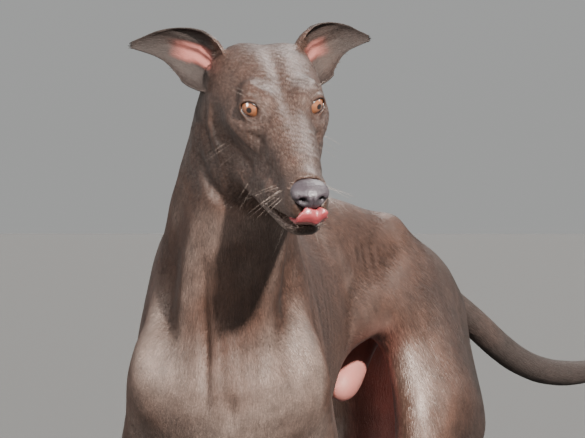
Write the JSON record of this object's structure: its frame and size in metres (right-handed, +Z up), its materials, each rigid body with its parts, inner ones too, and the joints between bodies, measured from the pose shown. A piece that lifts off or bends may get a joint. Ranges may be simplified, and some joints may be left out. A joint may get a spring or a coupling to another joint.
{
  "type": "greyhound",
  "caption": "Standing short-coated dark brown greyhound, life size, head turned to its left, ears thrown out sideways, tongue licking its nose, tail held low behind.",
  "frame": {"origin": "on the floor under the middle of the body's box", "axes": "+X the way the body faces between its chest and its hips, +Y the animal's left, +Z up"},
  "size_m": [1.299, 0.3466, 0.8578],
  "materials": {
    "coat": "short glossy hair",
    "nose_leather": "moist, finely pebbled",
    "tongue": "wet",
    "eye": "wet, clear"
  },
  "bodies": {
    "root": {"ear_left": "coat", "ear_right": "coat", "eye_left": "eye", "eye_right": "eye", "forefoot_left": "coat", "forefoot_right": "coat", "foreleg_left": "coat", "foreleg_right": "coat", "head": "coat", "hind_foot_left": "coat", "hind_foot_right": "coat", "jaw": "coat", "neck": "coat", "nose": "nose_leather", "shank_left": "coat", "shank_right": "coat", "tail": "coat", "thigh_left": "coat", "thigh_right": "coat", "tongue": "tongue", "torso": "coat"}
  },
  "joints": []
}
